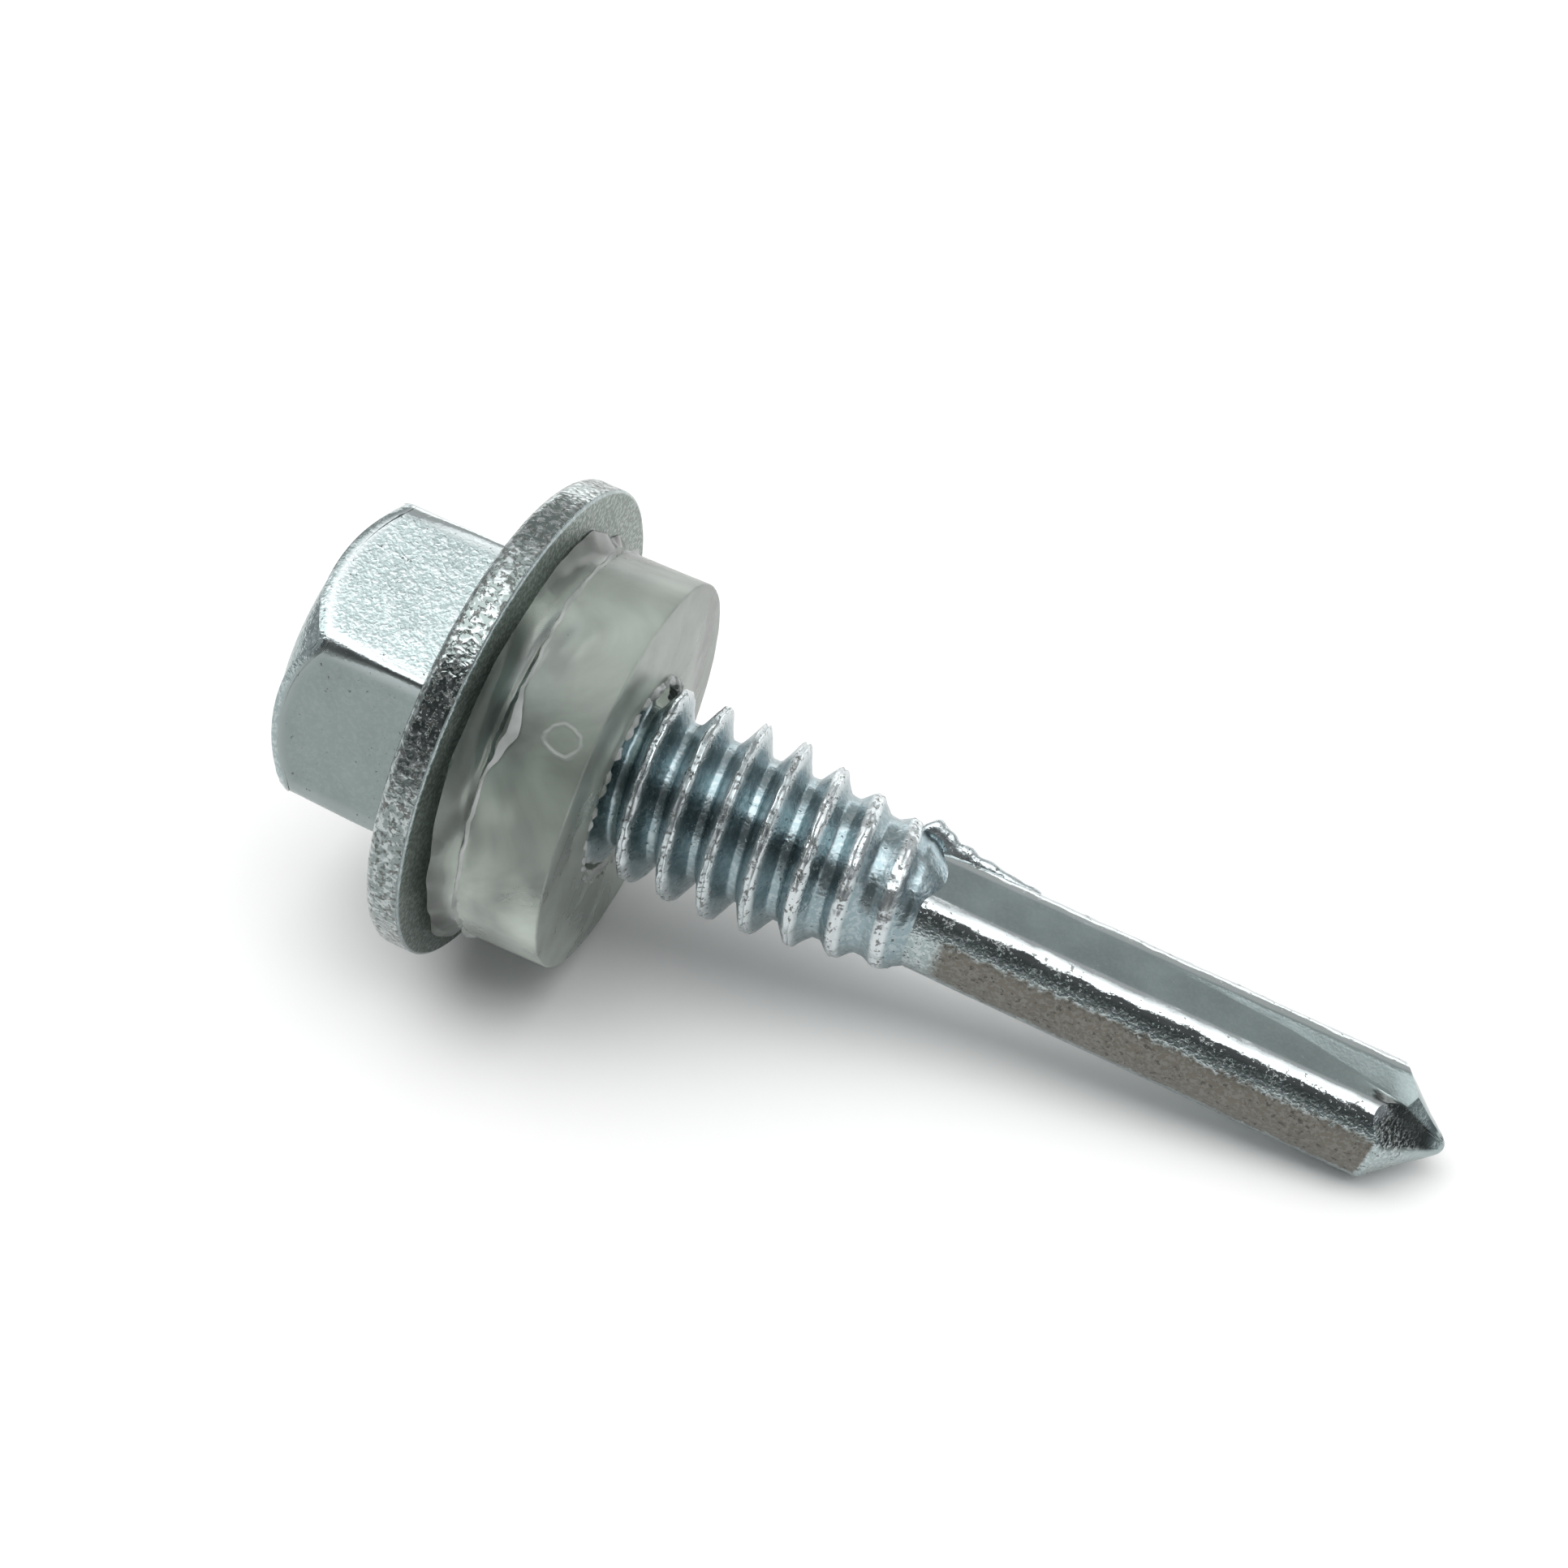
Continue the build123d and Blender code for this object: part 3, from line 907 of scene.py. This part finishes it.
def build_washer(sizes, steps):
    """The moulded ring with its mould flash and its spill over the flange, leaning a little."""
    radius_out, base, part, top = sizes.radius, sizes.base_radius, sizes.parting, sizes.height
    grip, bore = sizes.grip_radius, sizes.bore_radius
    base_soft = 0.09 * MM
    top_soft = 0.6 * base_soft
    relief = 0.4 * MM
    throat = (2.3 * MM, 1.05 * MM)
    spill_curve = 2.2
    seam = 0.05 * MM
    flash_points = ((0.04, -0.035), (0.10, 0.0), (0.03, 0.03))
    flap_width, flap_lift, flap_shrink = 0.16, 4.5, 0.4

    profile = [(radius, INSET) for radius in spread(grip + relief, base - base_soft, 8)]
    profile += [(base + sizes.spill * (1 - s) ** spill_curve, INSET + s * (part - 0.1 * MM))
                for s in spread(0.0, 1.0, 12)]
    profile += [(base, part - seam)]
    profile += [(radius_out + out * MM, part + up * MM) for out, up in flash_points]
    profile += [(radius_out, station) for station in spread(part + seam, top - top_soft, 14)]
    profile += arc((radius_out - top_soft, top - top_soft), top_soft, 0, 90, 5)[1:]
    profile += [(radius, top) for radius in spread(radius_out - top_soft, bore + 0.12 * MM, 12)[1:]]
    profile += [(bore, station) for station in spread(top - 0.1 * MM, throat[0], 5)]
    profile += [(mix(bore, grip, s), mix(*throat, s)) for s in spread(0.0, 1.0, 6)[1:]]
    profile += [(grip, relief), (grip + relief, INSET)]
    bm = spun(profile, steps)
    for face in bm.faces:
        centre = face.calc_center_median()
        in_flash = abs(centre.z - part) < 0.045 * MM and polar(centre)[0] > radius_out - 0.02 * MM
        face.material_index = FLASH if in_flash else CLEAR if centre.z < part else MILKY
    for vert in bm.verts:
        radius, angle, station = polar(vert.co)
        if abs(station - part) < 0.055 * MM and radius > base:
            spot = from_polar(radius_out, angle, 0.0)
            torn = exp(-(((angle - sizes.flap_angle) / flap_width) ** 2))
            wave = clamp(0.9 + uneven(spot, "flash reach") + uneven(spot, "flash tear"), 0.2, 2.2)
            out = max(0.0, radius - radius_out)
            radius = radius_out + out * wave * (1 - flap_shrink * torn)
            station += flap_lift * out * torn
            station += MM * (uneven(spot, "flash wave") + uneven(spot, "flash ripple"))
        if radius > base and station < part - 0.06 * MM:
            spot = from_polar(base, angle, 0.0)
            spill = clamp(0.65 + uneven(spot, "spill") + uneven(spot, "spill edge"), 0.1, 1.15)
            radius = mix(base, radius, spill)
        vert.co = from_polar(radius, angle, station)
        vert.co.z += MM * uneven(vert.co, "free face") * smoothstep(top - 0.5 * MM, top, station)
        if radius > base - 0.2 * MM:
            vert.co += from_polar(MM * uneven(vert.co, "ring"), angle, 0.0)
    add_frays(bm, sizes)
    lean = Matrix.Rotation(sizes.lean, 4, from_polar(1.0, sizes.lean_axis, 0.0))
    shift = Matrix.Translation(from_polar(sizes.offset, sizes.lean_axis + pi / 2, 0.0))
    bmesh.ops.transform(bm, matrix=shift @ lean, verts=bm.verts)
    lowest = min(vert.co.z for vert in bm.verts)
    bmesh.ops.translate(bm, vec=(0, 0, INSET - lowest), verts=bm.verts)
    return bm


# ---- Stage ----


def grey(value, tint=0.0):
    """A grey, a little bluer for a positive tint and a little greener for a negative one."""
    return (value * (1 - abs(tint)), value, value * (1 + tint), 1.0)


def build_floor(colour):
    """A plain pale floor."""
    bm = bmesh.new()
    bmesh.ops.create_grid(bm, x_segments=1, y_segments=1, size=2.0)
    material, tree, shader = new_material("pale_floor")
    feed(tree, shader, {"Base Color": colour, "Roughness": 1.0, "Specular IOR Level": 0.0})
    add_object("floor", bm, [material])


def light_studio(scene):
    """A room seen as a roll about the screw's length, with walls at its two ends."""
    room_stops = (
        (-175.0, grey(0.20, -0.01)), (-14.0, grey(0.20, -0.02)),  # below the horizon
        (-9.0, grey(0.9)), (12.0, grey(0.9)),  # a bright strip at the horizon, on the far side
        (18.0, grey(0.22, -0.02)), (56.0, grey(0.24)), (63.0, grey(0.5)), (78.0, grey(0.7)),
        (85.0, grey(1.15)), (113.0, grey(1.15)),  # the panel overhead
        (118.0, grey(0.04, 0.02)), (150.0, grey(0.04, 0.02)),  # the dark side, behind the camera
        (164.0, grey(0.1)), (178.0, grey(0.2)),
    )
    tip_stops = ((0.0, grey(0.10, 0.06)), (0.45, grey(0.12, 0.06)), (0.75, grey(0.18, 0.04)),
                 (0.9, grey(0.6)))
    head_stops = ((0.0, grey(0.18, 0.03)), (0.5, grey(0.27, 0.02)), (0.85, grey(0.5)))
    brightness = 2.5
    world = bpy.data.worlds.new("studio")
    scene.world = world
    world.use_nodes = True
    tree = world.node_tree
    direction = add_node(tree, "TexCoord").outputs["Generated"]
    along, across, up = add_node(tree, "SeparateXYZ", {"Vector": direction}).outputs
    roll = scaled(tree, maths(tree, "ARCTAN2", up, across), 1 / tau, 0.5)
    room = ramp(tree, roll, [(0.5 + turn / 360.0, value) for turn, value in room_stops])
    ends = blend(tree, maths(tree, "GREATER_THAN", along, 0.0), ramp(tree, up, head_stops),
                 ramp(tree, up, tip_stops))
    near_ends = ramp(tree, maths(tree, "ABSOLUTE", along), ((0.55, 0.0), (0.9, 1.0)))
    light = blend(tree, near_ends, room, ends)
    feed(tree, tree.nodes["Background"], {"Color": light, "Strength": brightness})


def place_camera(scene):
    """The camera, on the near side, above and a little towards the tip."""
    camera = bpy.data.cameras.new("camera")
    camera.sensor_width = 36.0
    camera.lens = 46.584
    camera.clip_start = 0.002
    camera.clip_end = 10.0
    holder = bpy.data.objects.new("camera", camera)
    holder.location = SEAT + Vector((21.876, -35.074, 34.276)) * MM
    holder.rotation_euler = (radians(48.314), 0.0, radians(22.625))
    scene.collection.objects.link(holder)
    scene.camera = holder


# ---- Operators and panel ----


class BuildHead(bpy.types.Operator):
    """Build the hexagon head and its flange"""

    bl_idname = "screw.build_head"
    bl_label = "Head and Flange"

    def execute(self, context):
        sizes, finish = context.scene.screw_sizes, context.scene.screw_finish
        material = zinc_material("head_zinc", finish, 0.11 * MM, 0.012 * MM, head_finish)
        make_piece("screw_head", build_head(sizes, finish.round_steps), [material], 30.0)
        return {"FINISHED"}


class BuildThread(bpy.types.Operator):
    """Build the rolled thread, its neck and its shoulder"""

    bl_idname = "screw.build_thread"
    bl_label = "Thread"

    def execute(self, context):
        sizes, finish = context.scene.screw_sizes, context.scene.screw_finish
        material = zinc_material("thread_zinc", finish, 0.14 * MM, 0.012 * MM, thread_finish)
        make_piece("screw_thread", build_thread(sizes, finish.thread_steps), [material], 40.0)
        return {"FINISHED"}


class BuildDrill(bpy.types.Operator):
    """Build the drill with its flats, flutes and point, and the burr where it begins"""

    bl_idname = "screw.build_drill"
    bl_label = "Drill and Burr"

    def execute(self, context):
        sizes, finish = context.scene.screw_sizes, context.scene.screw_finish
        smooth = zinc_material("drill_zinc", finish, 0.1 * MM, 0.01 * MM, drill_finish)
        make_piece("screw_drill", build_drill(sizes), [smooth], 24.0)
        rough = zinc_material("burr_zinc", finish, 0.14 * MM, 0.015 * MM, thread_finish)
        make_piece("screw_burr", build_burr(), [rough], 60.0)
        return {"FINISHED"}


class BuildWasher(bpy.types.Operator):
    """Build the moulded sealing washer"""

    bl_idname = "screw.build_washer"
    bl_label = "Sealing Washer"

    def execute(self, context):
        sizes, finish = context.scene.washer_sizes, context.scene.screw_finish
        gate = from_polar(sizes.radius, sizes.gate_angle, sizes.gate_station)
        materials = [vinyl_material("milky_vinyl", finish.milky, 0.72, 0.3, gate),
                     vinyl_material("clear_vinyl", finish.clear, 0.95, 0.16, gate),
                     vinyl_material("flash_vinyl", finish.flash, 0.5, 0.35, gate)]
        make_piece("washer_ring", build_washer(sizes, finish.round_steps), materials, 50.0, "sealing_washer")
        return {"FINISHED"}


class BuildStage(bpy.types.Operator):
    """Build the floor, the soft studio light and the camera"""

    bl_idname = "screw.build_stage"
    bl_label = "Stage"

    def execute(self, context):
        build_floor(context.scene.screw_finish.floor)
        light_studio(context.scene)
        place_camera(context.scene)
        context.scene.view_settings.view_transform = "Standard"
        return {"FINISHED"}


class ScrewPanel(bpy.types.Panel):
    """Lists the pieces of the screw"""

    bl_idname = "VIEW3D_PT_screw"
    bl_label = "Self Drilling Screw"
    bl_space_type = "VIEW_3D"
    bl_region_type = "UI"
    bl_category = "Screw"

    def draw(self, context):
        for operator in PIECES:
            self.layout.operator(operator.bl_idname)


PIECES = (BuildHead, BuildThread, BuildDrill, BuildWasher, BuildStage)
SETTINGS = {"screw_sizes": ScrewSizes, "washer_sizes": WasherSizes, "screw_finish": FinishSettings}
CLASSES = (*SETTINGS.values(), *PIECES, ScrewPanel)


def register():
    """Registers the classes and their settings."""
    for cls in CLASSES:
        bpy.utils.register_class(cls)
    for name, group in SETTINGS.items():
        setattr(bpy.types.Scene, name, PointerProperty(type=group))


def unregister():
    """Removes the classes and their settings."""
    for name in SETTINGS:
        delattr(bpy.types.Scene, name)
    for cls in reversed(CLASSES):
        bpy.utils.unregister_class(cls)


def main():
    """Builds every piece and the stage."""
    register()
    bpy.ops.screw.build_head()
    bpy.ops.screw.build_thread()
    bpy.ops.screw.build_drill()
    bpy.ops.screw.build_washer()
    bpy.ops.screw.build_stage()
    bpy.context.view_layer.update()


if __name__ == "__main__":
    main()
